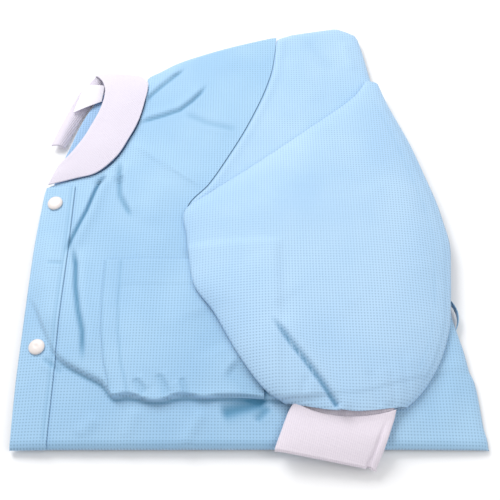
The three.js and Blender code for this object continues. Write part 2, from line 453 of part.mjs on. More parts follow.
// ---------------------------------------------------------------- collar band
const BAND_V = [0, 0.2, 0.5, 0.8, 1];
const bandGrid = [];
for (let i = 0; i <= 2 * (BAND.length - 1); i++) {
  const t = i / 2;
  const S = new THREE.Vector3(along(BAND, 'xs', t), along(BAND, 'ys', t), along(BAND, 'zs', t));
  const F = new THREE.Vector3(along(BAND, 'xf', t), along(BAND, 'yf', t), along(BAND, 'zf', t));
  const bow = along(BAND, 'bow', t);
  bandGrid.push(BAND_V.map((v) => S.clone().lerp(F, v).add(new THREE.Vector3(0, 0, bow * Math.sin(Math.PI * v)))));
}
// The band turns over at the back of the neck, so its wall is moved along the
// normals of the turned surface.
add('collar', wallMesh(bandGrid.reverse(), KNIT), WHITE);

// ---------------------------------------------------------------- back, inside
const BACK = [
  { y: 62, left: -160, right: -124 }, { y: 80, left: -156, right: -112 }, { y: 98, left: -150, right: -104 },
  { y: 115, left: -145.5, right: -98 }, { y: 131, left: -139.5, right: -96 }, { y: 146, left: -131.5, right: -97 },
  { y: 158, left: -124, right: -99 },
];
const backHeight = (x, y) => 6.4 + 0.9 * smooth((x + 140) / 40) + 0.5 * Math.sin((x + y) / 19);
add('back_panel', wallMesh(panelGrid(BACK, BACK.map((r) => r.y), stations(4, 0.08), backHeight, null), CLOTH, () => true), BLUE_DEEP);

// ---------------------------------------------------------------- neck label
{
  const us = [0, 0.25, 0.5, 0.75, 1];
  const mix = (a, b, t) => a + (b - a) * t;
  add('neck_label', wallMesh(us.map((u) => us.map((v) => new THREE.Vector3(
    mix(mix(LABEL.footLeft[0], LABEL.footRight[0], u), mix(LABEL.topLeft[0], LABEL.topRight[0], u), v),
    mix(mix(LABEL.footLeft[1], LABEL.footRight[1], u), mix(LABEL.topLeft[1], LABEL.topRight[1], u), v),
    9.4 + 1.0 * v + 0.3 * Math.sin(3 * u)))), LABEL.t, () => true), WHITE);
}

// ---------------------------------------------------------------- hidden layers
// One rounded solid for the layers folded under, with the layers' edges round it.
{
  const N = 60;
  const pts = OUTLINE.map((p) => new THREE.Vector2(p.x, p.y));
  const lens = [0];
  for (let i = 0; i < pts.length; i++) lens.push(lens[i] + pts[i].distanceTo(pts[(i + 1) % pts.length]));
  const total = lens[pts.length];
  const centre = new THREE.Vector2(-8, 10);
  const rim = [];
  for (let k = 0; k < N; k++) {
    const d = total * k / N;
    let i = 0; while (lens[i + 1] < d) i++;
    const f = (d - lens[i]) / (lens[i + 1] - lens[i]);
    rim.push(pts[i].clone().lerp(pts[(i + 1) % pts.length], f));
  }
  const under = (x, y) => {
    let z = 1e9;
    for (const dx of [-8, 0, 8]) for (const dy of [-8, 0, 8]) z = Math.min(z, stackHeight(x + dx, y + dy) + Math.min(0, foldRise(x + dx, y + dy)));
    z -= CLOTH + 1.3;
    const back = y > BACK[0].y - 9 && y < BACK[BACK.length - 1].y + 9 && x > column(BACK, 'left', 'y', y) - 9 && x < column(BACK, 'right', 'y', y) + 9;
    return back ? Math.min(z, NECK_Z) : z;
  };
  const ringAt = (back, zOf) => rim.map((p) => {
    const dir = centre.clone().sub(p), l = dir.length();
    const q = p.clone().addScaledVector(dir, back / l);
    return new THREE.Vector3(q.x, q.y, zOf(q.x, q.y));
  });
  const edgeTop = (x, y) => Math.max(1.6, Math.min(under(x, y), 5.2) - 0.6);
  const rings = [ringAt(60, () => 0), ringAt(5.2, () => 0)];
  for (const l of LAYERS.slice(1)) rings.push(ringAt(l.back + 1.2, (x, y) => 0.35 + l.at * (edgeTop(x, y) - 0.35)));
  for (const share of [0.06, 0.13, 0.28, 0.5, 0.75]) {
    rings.push(rim.map((p) => {
      const q = p.clone().lerp(centre, share);
      return new THREE.Vector3(q.x, q.y, Math.max(2.2, under(q.x, q.y)));
    }));
  }
  add('folded_layers', ringMesh(rings, true, true), BLUE_DEEP);
}

export default group;
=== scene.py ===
# Folded disposable lab jacket: the looks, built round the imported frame.
# Sizes below are in millimetres in the jacket's own plan; put() moves them to
# metres and to the frame's origin.
import math
import bpy
import numpy as np
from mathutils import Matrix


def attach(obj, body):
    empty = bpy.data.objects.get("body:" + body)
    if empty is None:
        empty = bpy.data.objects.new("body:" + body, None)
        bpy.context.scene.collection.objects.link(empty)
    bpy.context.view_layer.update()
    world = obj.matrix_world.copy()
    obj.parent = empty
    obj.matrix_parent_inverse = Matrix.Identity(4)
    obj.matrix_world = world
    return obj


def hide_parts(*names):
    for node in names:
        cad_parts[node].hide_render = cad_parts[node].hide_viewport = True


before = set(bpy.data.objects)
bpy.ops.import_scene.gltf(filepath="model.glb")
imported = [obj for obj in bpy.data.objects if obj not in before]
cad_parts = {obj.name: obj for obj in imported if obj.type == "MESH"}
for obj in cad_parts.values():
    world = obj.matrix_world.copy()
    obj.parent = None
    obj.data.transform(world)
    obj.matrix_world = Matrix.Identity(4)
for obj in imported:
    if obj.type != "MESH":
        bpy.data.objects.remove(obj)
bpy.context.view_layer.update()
SHIFT_X, SHIFT_Y = 1.0, -25.75

# ------------------------------------------------------------------ camera
EL, DIST, LENS_PX = math.radians(60.0), 717.0, 900.0
cam_data = bpy.data.cameras.new("camera")
cam_data.sensor_width = 36.0
cam_data.lens = LENS_PX / 500.0 * 36.0
cam = bpy.data.objects.new("camera", cam_data)
cam.location = (SHIFT_X / 1000, (SHIFT_Y - DIST * math.cos(EL)) / 1000, DIST * math.sin(EL) / 1000)
cam.rotation_euler = (math.pi / 2 - EL, 0, 0)
bpy.context.collection.objects.link(cam)
bpy.context.scene.camera = cam

# ------------------------------------------------------------------ tables
LINES = [-170, -145, -95, -30, 50, 120, 168]
STACK = np.array([  # y, then the cloth's height at those lines
    [-165, 6.4, 8.2, 8.8, 9.2, 9.2, 8.4, 6.4], [-145, 7.0, 9.4, 10.6, 11.0, 11.0, 9.8, 6.8],
    [-100, 7.6, 10.6, 12.4, 13.0, 12.6, 11.0, 7.4], [-40, 8.0, 11.2, 13.6, 14.2, 13.4, 11.8, 8.0],
    [30, 8.0, 11.2, 13.8, 14.2, 13.6, 11.8, 8.4], [100, 8.0, 10.6, 12.8, 13.6, 13.2, 11.2, 8.6],
    [170, 7.6, 9.6, 10.8, 11.8, 11.6, 9.6, 8.4], [230, 7.0, 8.4, 8.6, 9.2, 9.8, 9.0, 8.0]], float)
ARMHOLE = np.array([[-54, 151.0], [-36, 98.0], [-12, 26.0], [12, -38.0], [31, -49.8], [54, -33.6],
                    [80, -19.1], [118, -0.6], [158, 14.4], [178, 19.6], [197, 22.2], [216, 24.0]], float)
FRONT_LEFT = np.array([[-166, -168.2], [-158, -168.5], [-130, -169.5], [-105, -170.0], [-54, -170.0], [-12, -170.0], [12, -169.3],
                       [31, -168.2], [54, -166.0], [60, -142.5], [65, -125.5], [80, -110.2], [99, -101.2],
                       [118, -94.2], [139, -90.4], [158, -88.4], [170, -90.5], [178, -80.0], [187, -67.0],
                       [197, -45.0], [207, -18.0], [216, 12.0]], float)
FRONT_RIGHT = np.array([[-166, 168.0], [-158, 168.0], [-148, 166.4], [-130, 165.5], [-114, 164.0], [-105, 161.0], [-89, 158.5], [-80, 156.5], [-54, 151.0]], float)
SLEEVE_RIGHT = np.array([[-54, 151.4], [-36, 151.0], [-12, 152.0], [12, 152.0], [31, 148.0], [54, 142.0],
                         [80, 134.0], [118, 120.0], [139, 113.0], [158, 108.5], [178, 105.0], [197, 102.0],
                         [210, 99.6], [217, 98.0], [222.5, 95.0], [226.5, 88.0], [230, 79.5]], float)
SLEEVE_TOP = np.array([[216, 24.4], [222.5, 38.0], [226.5, 58.0], [230, 76.0]], float)
SAG_LINE = np.array([[-176, -40], [-163, -57], [-151, -82], [-141, -98], [-122, -110], [-106, -119], [-97, -129],
                     [-60, -130], [-8, -128], [20, -130], [70, -126], [120, -112], [176, -104]], float)
# name, points of the crease, half width, depth of the line, ridge beside it (side +1 left of travel), its width
CREASES = [
    ("neckToPlacket", [(-119, 68), (-126, 48), (-131, 30), (-136, 17), (-141, 3), (-144, -13)], 1.5, -2.6, 1.7, +1, 9),
    ("chestTrough", [(-139, -3), (-135, -20), (-133, -40), (-129, -60), (-124, -78), (-121, -106)], 1.6, -2.6, 1.4, +1, 10),
    ("neckDrop", [(-108, 79), (-107, 59), (-105, 43), (-100, 33), (-93, 20)], 1.8, -1.6, 1.0, +1, 9),
    ("shoulderA", [(-95, 116), (-88, 120), (-74, 125), (-60, 131), (-50, 141), (-43, 150), (-36, 161)], 1.7, -1.7, 1.1, +1, 7),
    ("shoulderB", [(-87, 139), (-87, 146), (-78, 157), (-67, 169), (-57, 179)], 1.7, -1.5, 0.9, +1, 7),
    ("shoulderC", [(-56, 128), (-36, 117), (-8, 109)], 3.0, -0.8, 0.5, -1, 9),
    ("placketEnd", [(-158, -19), (-144, -19)], 1.6, -0.9, 0.4, -1, 4),
    ("belowSnap", [(-152, -98), (-143, -104), (-136, -110)], 1.8, -1.0, 0.5, -1, 6),
    ("hollowA", [(-16, -106), (2, -118), (16, -127)], 7.0, -2.6, 0.0, 1, 9),
    ("hollowB", [(-22, -141), (-6, -136), (14, -131)], 6.0, -2.6, 0.8, -1, 8),
    ("hollowC", [(4, -146), (15, -135)], 3.0, -1.6, 0.8, -1, 5),
    ("gatherA", [(-83, -116), (-74, -126)], 2.6, -1.3, 0.8, 1, 5),
    ("gatherB", [(-66, -112), (-58, -127)], 2.8, -1.2, 0.9, 1, 5),
    ("gatherC", [(-50, -116), (-44, -127)], 2.4, -1.2, 0.8, -1, 5),
]
# soft ridges: name, ends, half width, height
RIDGES = [
    ("pressed", (-101, 97), (-38, 50), 2.0, 1.1), ("pressedSoft", (-101, 97), (-38, 50), 9.0, 0.9),
    ("skirtA", (-121, -157), (-108, -142), 5.0, 1.2), ("skirtB", (-88, -160), (-80, -136), 5.0, 1.0),
    ("skirtC", (-47, -163), (-33, -138), 4.5, 1.4), ("skirtD", (100, -160), (124, -138), 8.0, 0.8),
    ("chest", (-76, 20), (-84, -90), 14.0, 0.9), ("chestB", (-38, -10), (-58, -84), 12.0, 0.8),
    ("dip", (-40, -60), (-22, -96), 12.0, -1.2), ("yoke", (-66, 60), (-84, 14), 10.0, 0.8),
    ("lapel", (-157, 10), (-157, -50), 7.0, 0.7), ("sideA", (140, -150), (152, -96), 7.0, 0.9),
    ("shoulder", (-40, 176), (-8, 190), 9.0, 0.6), ("armA", (30, 190), (62, 140), 10.0, 0.9),
    ("armB", (84, 212), (92, 176), 5.0, 1.0), ("armC", (50, 214), (76, 176), 6.0, -0.7),
]
FOREARM = np.array([  # xl, yl, xr, yr, sag, puff
    [100, 161, 112, 158, 0, 1.4], [86, 141, 119, 135, 0, 3.1], [45, 106, 134, 95, 0, 5.4], [2, 71, 144, 62, 0, 7.5],
    [-32, 45, 151, 38, 0, 8.8], [-53, 27, 155, 18, 0, 9.9], [-51, 4, 158, -3, 1, 10.5], [-48, -18, 156, -26, 2, 11.2],
    [-43, -42, 153, -52, 4, 11.6], [-28, -64, 149.5, -74, 6, 11.6], [-12, -94, 141.5, -97, 8, 10.9],
    [3, -117, 132, -114, 9, 9.5], [14, -129, 122, -127, 9, 7.8], [25, -134, 112, -136, 7, 6.5]], float)
CUFF = np.array([  # xl, yl, zl, xr, yr, zr, height
    [42, -120, 16.4, 96, -121, 16.2, 3.6], [34, -131, 15.4, 102, -135, 15.2, 4.0], [28.5, -139, 13.2, 101, -144, 13.0, 4.4],
    [25.5, -146, 12.2, 98.5, -151, 12.2, 4.6], [22.5, -154, 11.6, 95, -160, 11.6, 4.8], [19.8, -161, 11.0, 91, -169.5, 8.6, 5.0],
    [18, -166, 10.2, 86.5, -178.5, 4.4, 5.2]], float)
BAND = np.array([  # xs, ys, zs (seam), xf, yf, zf (free edge), bow
    [-164.5, 56.0, 9.6, -157, 74, 11.0, 0.6], [-143, 61.0, 11.8, -151, 80, 13.4, 0.8], [-126, 65.8, 13.2, -145, 88, 14.8, 0.9],
    [-111, 81.0, 14.2, -138, 100, 15.8, 1.0], [-102, 99.5, 14.4, -133, 112, 16.4, 1.0], [-95, 118.5, 14.2, -128, 125, 16.8, 1.0],
    [-91.2, 139.0, 13.6, -125, 138, 17.0, 1.0], [-89.4, 157.0, 12.4, -124.5, 149, 16.6, 1.0], [-94.5, 168.5, 9.4, -126.5, 157, 15.2, 1.6],
    [-105, 174.5, 5.2, -130, 164.5, 12.8, 3.0], [-117, 174.0, 2.4, -135.5, 170, 9.8, 3.2], [-127, 162.0, 2.2, -142, 164, 7.4, 2.6],
    [-137, 146.0, 2.4, -149.5, 154, 6.4, 2.6], [-145, 131.0, 2.6, -156, 137, 6.2, 2.8], [-151, 115.0, 2.8, -162.5, 117, 6.0, 3.0],
    [-156.5, 98.0, 2.8, -168, 99, 5.6, 3.0]], float)
SNAPS = [(-157.0, 37.0), (-157.0, -89.0)]
OUTLINE = np.array([[-164, -160], [-100, -162], [-20, -162.5], [60, -162.5], [120, -162], [163, -160.5], [166, -152], [163.5, -125],
                    [159, -98], [155.5, -74], [152, -40], [150, 0], [145, 40], [133, 85], [119, 125], [107, 160], [101, 195], [95, 219],
                    [84, 224], [72, 226], [24, 216], [-18, 203], [-46, 193], [-74, 179], [-96, 165], [-122, 152], [-140, 130],
                    [-147, 105], [-158, 80], [-163, 58], [-166, 30], [-167, -20], [-167, -80], [-166, -130]], float)
LAYERS = [(0.10, 0.8), (0.24, 1.6), (0.34, 3.6), (0.46, 1.4), (0.60, 2.0), (0.70, 4.0), (0.84, 2.4), (1.0, 5.5)]

# ------------------------------------------------------------------ helpers
def smooth(t):
    t = np.clip(t, 0, 1)
    return t * t * (3 - 2 * t)

def curve(table, col=1):
    """Monotone cubic through a table's rows: no overshoot between them."""
    x, y = table[:, 0], table[:, col]
    h, d = np.diff(x), np.diff(y) / np.diff(x)
    m = np.zeros(len(x))
    for k in range(1, len(x) - 1):
        if d[k - 1] * d[k] > 0:
            w1, w2 = 2 * h[k] + h[k - 1], h[k] + 2 * h[k - 1]
            m[k] = (w1 + w2) / (w1 / d[k - 1] + w2 / d[k])
    m[0], m[-1] = d[0], d[-1]
    def f(v):
        v = np.clip(np.asarray(v, float), x[0], x[-1])
        i = np.clip(np.searchsorted(x, v) - 1, 0, len(x) - 2)
        t = (v - x[i]) / h[i]
        return ((1 + 2 * t) * (1 - t) ** 2 * y[i] + t * (1 - t) ** 2 * h[i] * m[i]
                + t * t * (3 - 2 * t) * y[i + 1] + t * t * (t - 1) * h[i] * m[i + 1])
    return f

def along(table, t):
    """Catmull-Rom through a table's rows in order; t may be an array."""
    n = len(table) - 1
    t = np.asarray(t, float)
    i = np.clip(np.floor(t).astype(int), 0, n - 1)
    f = (t - i)[..., None]
    p0, p1, p2, p3 = table[np.maximum(i - 1, 0)], table[i], table[i + 1], table[np.minimum(i + 2, n)]
    return 0.5 * (2 * p1 + (p2 - p0) * f + (2 * p0 - 5 * p1 + 4 * p2 - p3) * f ** 2 + (3 * p1 - p0 - 3 * p2 + p3) * f ** 3)

def polyline(x, y, pts):
    """Distance to a polyline, which side of it, and how far along (0 to 1)."""
    best = np.full(x.shape, 1e9)
    side, pos = np.zeros(x.shape), np.zeros(x.shape)
    total = sum(math.dist(pts[k], pts[k + 1]) for k in range(len(pts) - 1))
    done = 0.0
    for k in range(len(pts) - 1):
        (x0, y0), (x1, y1) = pts[k], pts[k + 1]
        dx, dy = x1 - x0, y1 - y0
        l2 = dx * dx + dy * dy
        raw = ((x - x0) * dx + (y - y0) * dy) / l2
        s = np.clip(raw, 0, 1)
        d = np.hypot(x - x0 - s * dx, y - y0 - s * dy)
        near = d < best
        best = np.where(near, d, best)
        side = np.where(near, np.sign(dx * (y - y0) - dy * (x - x0)), side)
        pos = np.where(near, (done + s * math.sqrt(l2)) / total, pos)
        done += math.sqrt(l2)
    return best, side, pos

_cols = [curve(STACK, k + 1) for k in range(7)]
def stack(x, y):
    z = np.stack([c(y) for c in _cols])
    L = np.array(LINES, float)
    m = np.zeros_like(z)
    for k in range(7):
        a, b = max(k - 1, 0), min(k + 1, 6)
        m[k] = (z[b] - z[a]) / (L[b] - L[a])
    xc = np.clip(x, L[0], L[-1])
    out = np.zeros_like(xc)
    for k in range(6):
        h = L[k + 1] - L[k]
        t = (xc - L[k]) / h
        val = ((1 + 2 * t) * (1 - t) ** 2 * z[k] + t * (1 - t) ** 2 * h * m[k] + t * t * (3 - 2 * t) * z[k + 1] + t * t * (t - 1) * h * m[k + 1])
        out = np.where((xc >= L[k]) & (xc <= L[k + 1]), val, out)
    return out

_sag = curve(SAG_LINE)
def sag_mask(x, y):
    m = smooth((x + 172) / 22) * (1 - 0.85 * smooth((x - 18) / 40))
    for sx, sy in SNAPS:
        m = m * (1 - np.exp(-((x - sx) ** 2 + (y - sy) ** 2) / 190))
    return m
def pocket_wave(x):
    return 1.5 * np.sin((x + 98) / 6.4) * smooth((x + 100) / 12) * (1 - smooth((x + 44) / 24))
def behind(x, y):
    return y - _sag(x) - pocket_wave(x)
def sag(x, y):
    d = behind(x, y)
    return 4.4 * smooth(d / 4.2) * (1 - smooth((d - 12) / 95)) * sag_mask(x, y)

RNG = np.random.default_rng(7)
_WAVES = [(RNG.uniform(0, math.tau), RNG.uniform(0.35, 1.0), RNG.uniform(0, math.tau)) for _ in range(14)]
def ripple(x, y, size):
    """Low, uneven undulation of a limp sheet."""
    z = np.zeros_like(x)
    for k, (a, w, p) in enumerate(_WAVES):
        f = w * (0.6 + 0.12 * k) / size
        z += np.sin((x * math.cos(a) + y * math.sin(a)) * f * math.tau / 6 + p) / (1 + 0.25 * k)
    return z / 4

def creases(x, y):
    """Listed folds: height and how deep in shade a place lies."""
    z, shade = np.zeros_like(x), np.zeros_like(x)
    for name, pts, w, depth, ridge, side, rw in CREASES:
        d, s, pos = polyline(x, y, pts)
        ends = smooth(pos / 0.16) * smooth((1 - pos) / 0.2)
        z += depth * np.exp(-(d / w) ** 2) * ends
        shade += -depth * np.exp(-(d / (w * 1.05)) ** 2) * ends / 2.6
        off = np.where(s * side > 0, d, -d)
        z += ridge * np.exp(-((off - rw * 0.55) / (rw * 0.6)) ** 2) * ends
    for name, a, b, w, h in RIDGES:
        d, s, pos = polyline(x, y, [a, b])
        ends = smooth(pos / 0.25 + 0.15) * smooth((1 - pos) / 0.25 + 0.15)
        z += h * np.exp(-(d / w) ** 2) * ends
        shade -= 0.10 * h * np.exp(-(d / w) ** 2) * ends
    return z, shade

def cloth(x, y):
    c, shade = creases(x, y)
    z = stack(x, y) + sag(x, y) + c + 0.55 * ripple(x, y, 34) + 0.16 * ripple(y, x, 11)
    d = behind(x, y)
    shade = shade + 0.75 * np.exp(-((d + 1.2) / 1.6) ** 2) * sag_mask(x, y) * smooth((x + 160) / 40)
    return z, shade

def drop(d, reach, depth):
    return np.where(d >= reach, 0, depth * (1 - np.sqrt(np.maximum(0, 1 - (1 - np.clip(d, 0, reach) / reach) ** 2))))

def put(p):
    q = np.asarray(p, float).reshape(-1, 3).copy()
    q[:, 0] += SHIFT_X
    q[:, 1] += SHIFT_Y
    return q / 1000

def new_mesh(name, verts, faces, material, shade=None, shade_smooth=True):
    me = bpy.data.meshes.new(name)
    me.from_pydata(put(verts).tolist(), [], faces)
    me.validate()
    me.update()
    if shade_smooth:
        me.polygons.foreach_set("use_smooth", [True] * len(me.polygons))
    if shade is not None:
        a = me.attributes.new("shade", "FLOAT", "POINT")
        a.data.foreach_set("value", np.asarray(shade, np.float32).ravel())
    me.materials.append(material)
    o = bpy.data.objects.new(name, me)
    bpy.context.collection.objects.link(o)
    return o

def normals(P):
    du = np.gradient(P, axis=0)
    dv = np.gradient(P, axis=1)
    n = np.cross(du, dv)
    return n / np.maximum(np.linalg.norm(n, axis=2, keepdims=True), 1e-9)

def sheet_mesh(name, P, thick, material, shade=None, flip=False, vertical=False):
    """A closed thin wall: P (nu, nv, 3) is its outer face, the inner lies under it."""
    n = normals(P)
    if flip:
        n = -n
    if vertical:
        n = np.zeros_like(P); n[..., 2] = 1
    nu, nv = P.shape[:2]
    mid = P - n * thick * 0.5
    top = P.reshape(-1, 3)
    low = (P - n * thick).reshape(-1, 3)
    N = nu * nv
    idx = np.arange(N).reshape(nu, nv)
    a, b, c, d = idx[:-1, :-1], idx[1:, :-1], idx[1:, 1:], idx[:-1, 1:]
    quad = np.stack([a, b, c, d], -1).reshape(-1, 4)
    if flip:
        quad = quad[:, ::-1]
    under = quad[:, ::-1] + N
    loop = np.concatenate([idx[:, 0], idx[-1, 1:], idx[-2::-1, -1], idx[0, -2:0:-1]])
    # a rounded rim: one extra ring half a thickness out
    centre = loop
    outv = mid.reshape(-1, 3)[centre].copy()
    du, dv = np.gradient(P, axis=0).reshape(-1, 3), np.gradient(P, axis=1).reshape(-1, 3)
    push = np.zeros_like(outv)
    k0, k1, k2 = nu, nu + nv - 1, 2 * nu + nv - 2
    ring = np.arange(len(loop))
    unit = lambda v: v / np.maximum(np.linalg.norm(v, axis=1, keepdims=True), 1e-9)
    push[:nu] -= unit(dv[centre[:nu]])
    push[nu - 1:nu + nv - 1] += unit(du[centre[nu - 1:nu + nv - 1]])
    push[nu + nv - 2:2 * nu + nv - 2] += unit(dv[centre[nu + nv - 2:2 * nu + nv - 2]])
    push[2 * nu + nv - 3:] -= unit(du[centre[2 * nu + nv - 3:]])
    push[0] -= unit(du[centre[:1]])[0]
    outv += unit(push) * thick * 0.3
    verts = np.concatenate([top, low, outv])
    m = len(loop)
    r = 2 * N + ring
    r2, l2 = np.roll(r, -1), np.roll(loop, -1)
    side1 = np.stack([l2, loop, r, r2], -1)
    side2 = np.stack([r2, r, loop + N, l2 + N], -1)
    if flip:
        side1, side2 = side1[:, ::-1], side2[:, ::-1]
    faces = np.concatenate([quad, under, side1, side2]).tolist()
    sh = None
    if shade is not None:
        s = np.asarray(shade).reshape(-1)
        sh = np.concatenate([s, s, s[centre]])
    return new_mesh(name, verts, faces, material, sh)

def loft(name, rings, material, shade=None, closed=False, cap0=False, cap1=False):
    rings = np.asarray(rings, float)
    n, m = rings.shape[:2]
    idx = np.arange(n * m).reshape(n, m)
    nxt = np.roll(idx, -1, axis=1)
    rows = n if closed else n - 1
    a, b = idx, nxt
    faces = []
    for i in range(rows):
        j = (i + 1) % n
        faces.append(np.stack([idx[i], nxt[i], nxt[j], idx[j]], -1))
    faces = np.concatenate(faces).tolist()
    verts = rings.reshape(-1, 3)
    extra = []
    if cap0:
        faces += [[n * m, int(nxt[0][k]), int(idx[0][k])][::-1][::-1] for k in range(m)]
        extra.append(rings[0].mean(0))
    if cap1:
        c = n * m + len(extra)
        faces += [[c, int(idx[-1][k]), int(nxt[-1][k])] for k in range(m)]
        extra.append(rings[-1].mean(0))
    if extra:
        verts = np.concatenate([verts, np.array(extra)])
        if shade is not None:
            shade = np.concatenate([np.asarray(shade).ravel(), np.zeros(len(extra))])
    return new_mesh(name, verts, faces, material, shade)

# ------------------------------------------------------------------ materials
def nodes_of(name):
    m = bpy.data.materials.new(name)
    m.use_nodes = True
    nt = m.node_tree
    return m, nt, nt.nodes["Principled BSDF"]

def node(nt, kind, **values):
    n = nt.nodes.new(kind)
    for k, v in values.items():
        setattr(n, k, v)
    return n

def math_node(nt, op, a, b=None):
    n = node(nt, "ShaderNodeMath", operation=op)
    for k, v in enumerate((a, b)):
        if v is None:
            continue
        if isinstance(v, (int, float)):
            n.inputs[k].default_value = v
        else:
            nt.links.new(v, n.inputs[k])
    return n.outputs[0]

def nonwoven(name, light, dark, deep, pitch=3.2, rough=0.62):
    """Embossed spun-bond cloth: a diamond of small bond points, mottled, with painted shade blended in toward a dark
    teal where the shade attribute is set.
    """
    m, nt, bsdf = nodes_of(name)
    bsdf.inputs["Roughness"].default_value = rough
    bsdf.inputs["Sheen Weight"].default_value = 0.25
    bsdf.inputs["Sheen Roughness"].default_value = 0.5
    bsdf.inputs["Specular IOR Level"].default_value = 0.35
    co = node(nt, "ShaderNodeTexCoord")
    mp = node(nt, "ShaderNodeMapping")
    mp.inputs["Rotation"].default_value = (0, 0, math.radians(45))
    nt.links.new(co.outputs["Object"], mp.inputs["Vector"])
    sep = node(nt, "ShaderNodeSeparateXYZ")
    nt.links.new(mp.outputs[0], sep.inputs[0])
    k = math.tau / (pitch / 1000)
    sx = math_node(nt, "SINE", math_node(nt, "MULTIPLY", sep.outputs[0], k))
    sy = math_node(nt, "SINE", math_node(nt, "MULTIPLY", sep.outputs[1], k))
    dots = math_node(nt, "MULTIPLY", sx, sy)
    # bond points: narrow pits where both waves peak
    pit = node(nt, "ShaderNodeMapRange")
    pit.inputs["From Min"].default_value, pit.inputs["From Max"].default_value = 0.15, 0.85
    nt.links.new(dots, pit.inputs["Value"])
    fibre = node(nt, "ShaderNodeTexNoise")
    fibre.inputs["Scale"].default_value = 900
    fibre.inputs["Detail"].default_value = 3
    nt.links.new(co.outputs["Object"], fibre.inputs["Vector"])
    broad = node(nt, "ShaderNodeTexNoise")
    broad.inputs["Scale"].default_value = 14
    broad.inputs["Detail"].default_value = 3
    nt.links.new(co.outputs["Object"], broad.inputs["Vector"])
    ramp = node(nt, "ShaderNodeValToRGB")
    ramp.color_ramp.elements[0].position, ramp.color_ramp.elements[1].position = 0.3, 0.7
    ramp.color_ramp.elements[0].color, ramp.color_ramp.elements[1].color = (*dark, 1), (*light, 1)
    nt.links.new(broad.outputs["Fac"], ramp.inputs["Fac"])
    mix = node(nt, "ShaderNodeMix", data_type="RGBA")
    nt.links.new(math_node(nt, "MULTIPLY", pit.outputs[0], 0.62), mix.inputs["Factor"])
    nt.links.new(ramp.outputs["Color"], mix.inputs["A"])
    mix.inputs["B"].default_value = (*[0.62 * c for c in dark], 1)
    # painted shade: the shade attribute darkens the cloth toward the dark teal in creases, grooves and under edges
    att = node(nt, "ShaderNodeAttribute", attribute_name="shade")
    clampd = node(nt, "ShaderNodeClamp")
    nt.links.new(math_node(nt, "MULTIPLY", att.outputs["Fac"], 0.85), clampd.inputs["Value"])
    mix2 = node(nt, "ShaderNodeMix", data_type="RGBA")
    nt.links.new(clampd.outputs[0], mix2.inputs["Factor"])
    nt.links.new(mix.outputs["Result"], mix2.inputs["A"])
    mix2.inputs["B"].default_value = (*deep, 1)
    nt.links.new(mix2.outputs["Result"], bsdf.inputs["Base Color"])
    hgt = math_node(nt, "SUBTRACT", math_node(nt, "MULTIPLY", fibre.outputs["Fac"], 0.25), math_node(nt, "MULTIPLY", pit.outputs[0], 1.0))
    bump = node(nt, "ShaderNodeBump")
    bump.inputs["Strength"].default_value = 0.55
    bump.inputs["Distance"].default_value = 0.00035
    nt.links.new(hgt, bump.inputs["Height"])
    nt.links.new(bump.outputs[0], bsdf.inputs["Normal"])
    return m

def knit(name, light, dark, pitch=1.25, rotate=0.0, depth=0.0003):
    """Fine rib knit: wales across the band with small stitches along them."""
    m, nt, bsdf = nodes_of(name)
    bsdf.inputs["Roughness"].default_value = 0.85
    bsdf.inputs["Sheen Weight"].default_value = 0.35
    bsdf.inputs["Specular IOR Level"].default_value = 0.2
    co = node(nt, "ShaderNodeTexCoord")
    mp = node(nt, "ShaderNodeMapping")
    mp.inputs["Rotation"].default_value = (0, 0, rotate)
    nt.links.new(co.outputs["Object"], mp.inputs["Vector"])
    sep = node(nt, "ShaderNodeSeparateXYZ")
    nt.links.new(mp.outputs[0], sep.inputs[0])
    k = math.tau / (pitch / 1000)
    rib = math_node(nt, "SINE", math_node(nt, "MULTIPLY", sep.outputs[0], k))
    stitch = math_node(nt, "SINE", math_node(nt, "ADD", math_node(nt, "MULTIPLY", sep.outputs[1], k * 1.3), math_node(nt, "MULTIPLY", rib, 1.2)))
    fuzz = node(nt, "ShaderNodeTexNoise")
    fuzz.inputs["Scale"].default_value = 700
    nt.links.new(co.outputs["Object"], fuzz.inputs["Vector"])
    hgt = math_node(nt, "ADD", math_node(nt, "ADD", rib, math_node(nt, "MULTIPLY", stitch, 0.4)), math_node(nt, "MULTIPLY", fuzz.outputs["Fac"], 1.2))
    mr = node(nt, "ShaderNodeMapRange")
    mr.inputs["From Min"].default_value, mr.inputs["From Max"].default_value = -1.2, 2.2
    nt.links.new(hgt, mr.inputs["Value"])
    ramp = node(nt, "ShaderNodeValToRGB")
    ramp.color_ramp.elements[0].color, ramp.color_ramp.elements[1].color = (*dark, 1), (*light, 1)
    ramp.color_ramp.elements[1].position = 0.75
    nt.links.new(mr.outputs[0], ramp.inputs["Fac"])
    nt.links.new(ramp.outputs["Color"], bsdf.inputs["Base Color"])
    bump = node(nt, "ShaderNodeBump")
    bump.inputs["Strength"].default_value = 0.4
    bump.inputs["Distance"].default_value = depth
    nt.links.new(hgt, bump.inputs["Height"])
    nt.links.new(bump.outputs[0], bsdf.inputs["Normal"])
    return m

# the third colour is the dark teal of the painted shade
LIGHT, MID, PAINTED_SHADE_TEAL = (0.375, 0.590, 0.80), (0.305, 0.520, 0.75), (0.05, 0.22, 0.38)
M_BLUE = nonwoven("nonwoven_blue", LIGHT, MID, PAINTED_SHADE_TEAL)
# painted light: the body's cloth, painted lighter for the sleeve
M_SLEEVE_PAINTED_LIGHTER = nonwoven("nonwoven_sleeve_painted_lighter", (0.430, 0.630, 0.84), (0.365, 0.575, 0.81), PAINTED_SHADE_TEAL)
